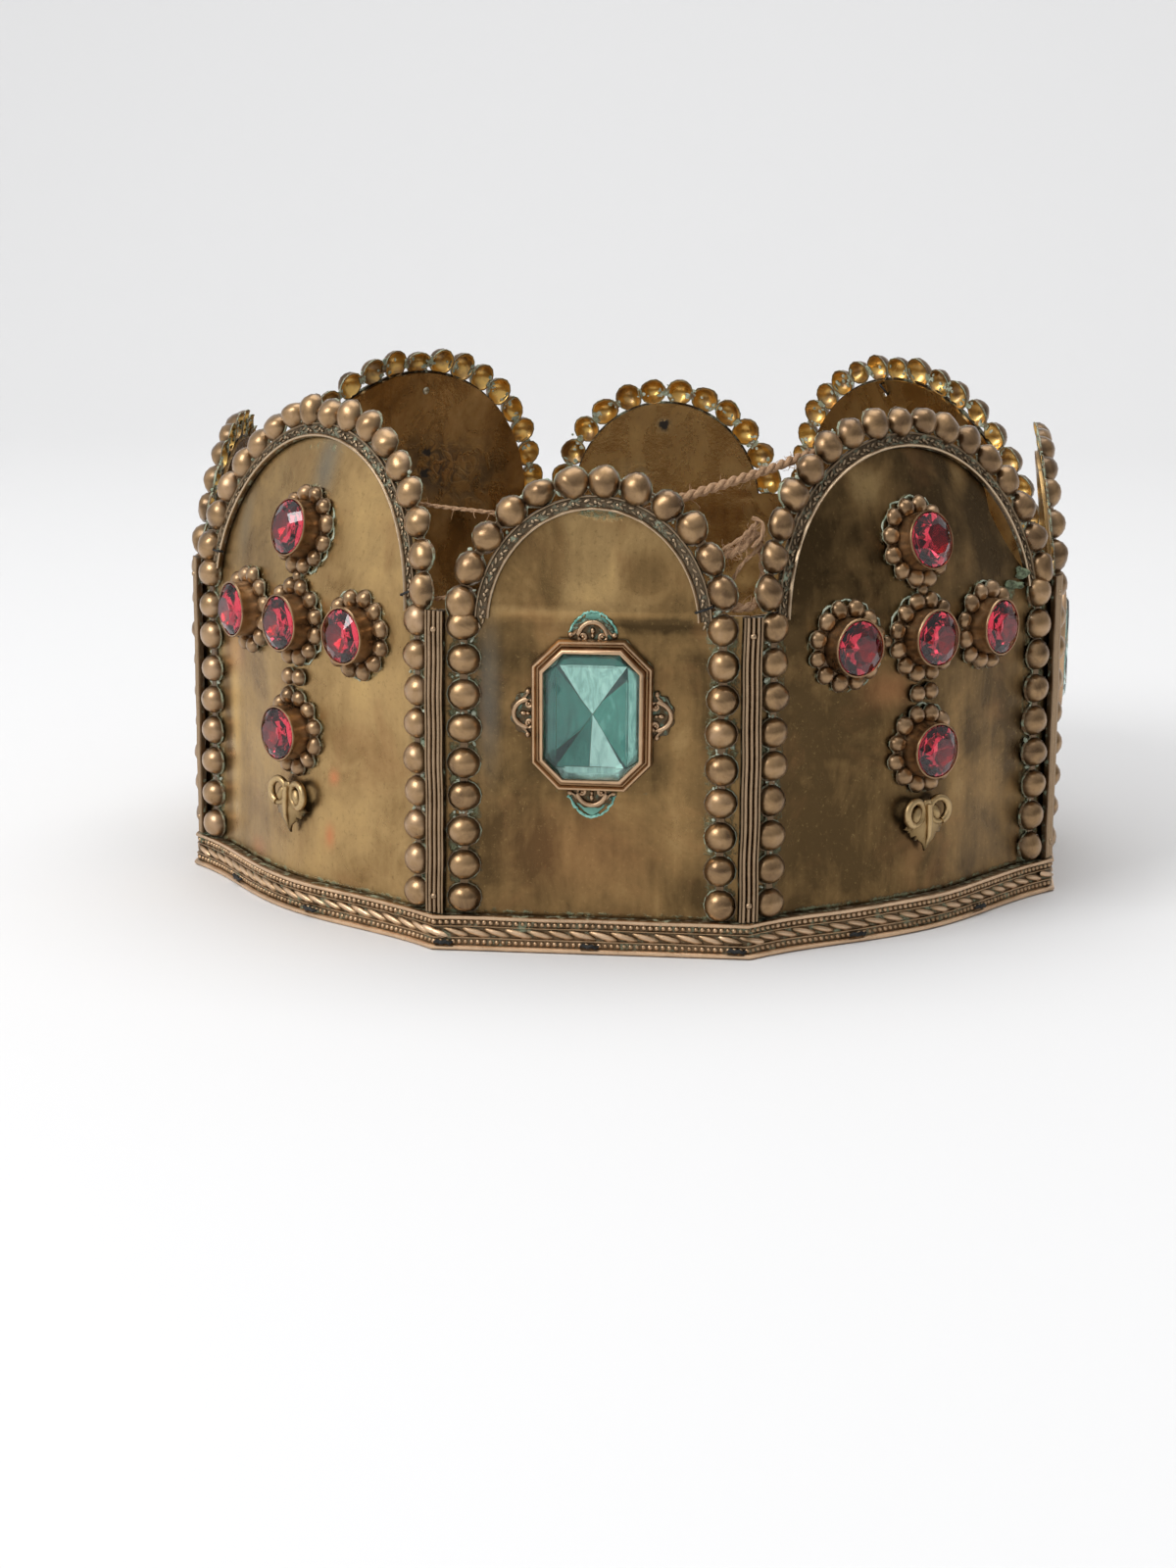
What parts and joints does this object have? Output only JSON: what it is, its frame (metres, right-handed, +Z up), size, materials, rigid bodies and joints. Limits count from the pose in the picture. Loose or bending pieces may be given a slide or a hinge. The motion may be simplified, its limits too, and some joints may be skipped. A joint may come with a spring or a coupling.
{
  "type": "theatrical crown",
  "caption": "Eight-sided arched stage crown of aged sheet brass with bead borders, large cut stones, rosette crosses and a moulded base border; it stands on its base.",
  "frame": {"origin": "middle of the ring of panels, on the plane of the base border's underside", "axes": "+Z up; -Y is the front, towards the front panel with a large stone; +X is the wearer's left, to the right as seen from the front"},
  "size_m": [0.2246, 0.2246, 0.1242],
  "materials": {
    "aged_sheet": "aged olive-brown brass sheet, mottled, with soft reflections and green crusts at its edges",
    "bronzed_beads": "satin coppery bronze half-round beads with pale green in the crevices",
    "dark_trim": "dark stamped brass trim with lighter worn ridges",
    "teal_glass": "clear teal glass, cut with sloping facets",
    "ruby_glass": "deep red clear glass, round cut",
    "jute": "twisted brown jute twine, frayed"
  },
  "bodies": {
    "root": {"panel_front": "aged_sheet", "panel_front_right": "aged_sheet", "panel_right": "aged_sheet", "panel_back_right": "aged_sheet", "panel_back": "aged_sheet", "panel_back_left": "aged_sheet", "panel_left": "aged_sheet", "panel_front_left": "aged_sheet", "bead_border_front": "bronzed_beads", "bead_border_front_right": "bronzed_beads", "bead_border_right": "bronzed_beads", "bead_border_back_right": "bronzed_beads", "bead_border_back": "bronzed_beads", "bead_border_back_left": "bronzed_beads", "bead_border_left": "bronzed_beads", "bead_border_front_left": "bronzed_beads", "stone_frame_front": "dark_trim", "teal_stone_front": "teal_glass", "cross_front_right": "bronzed_beads", "ruby_front_right_middle": "ruby_glass", "ruby_front_right_left": "ruby_glass", "ruby_front_right_right": "ruby_glass", "ruby_front_right_top": "ruby_glass", "ruby_front_right_bottom": "ruby_glass", "stone_frame_right": "dark_trim", "teal_stone_right": "teal_glass", "cross_back_right": "bronzed_beads", "ruby_back_right_middle": "ruby_glass", "ruby_back_right_left": "ruby_glass", "ruby_back_right_right": "ruby_glass", "ruby_back_right_top": "ruby_glass", "ruby_back_right_bottom": "ruby_glass", "stone_frame_back": "dark_trim", "teal_stone_back": "teal_glass", "cross_back_left": "bronzed_beads", "ruby_back_left_middle": "ruby_glass", "ruby_back_left_left": "ruby_glass", "ruby_back_left_right": "ruby_glass", "ruby_back_left_top": "ruby_glass", "ruby_back_left_bottom": "ruby_glass", "stone_frame_left": "dark_trim", "teal_stone_left": "teal_glass", "cross_front_left": "bronzed_beads", "ruby_front_left_middle": "ruby_glass", "ruby_front_left_left": "ruby_glass", "ruby_front_left_right": "ruby_glass", "ruby_front_left_top": "ruby_glass", "ruby_front_left_bottom": "ruby_glass", "pilaster_front_to_front_right": "dark_trim", "pilaster_front_right_to_right": "dark_trim", "pilaster_right_to_back_right": "dark_trim", "pilaster_back_right_to_back": "dark_trim", "pilaster_back_to_back_left": "dark_trim", "pilaster_back_left_to_left": "dark_trim", "pilaster_left_to_front_left": "dark_trim", "pilaster_front_left_to_front": "dark_trim", "base_border": "dark_trim", "twine_span": "jute", "twine_lashing": "jute"}
  },
  "joints": []
}
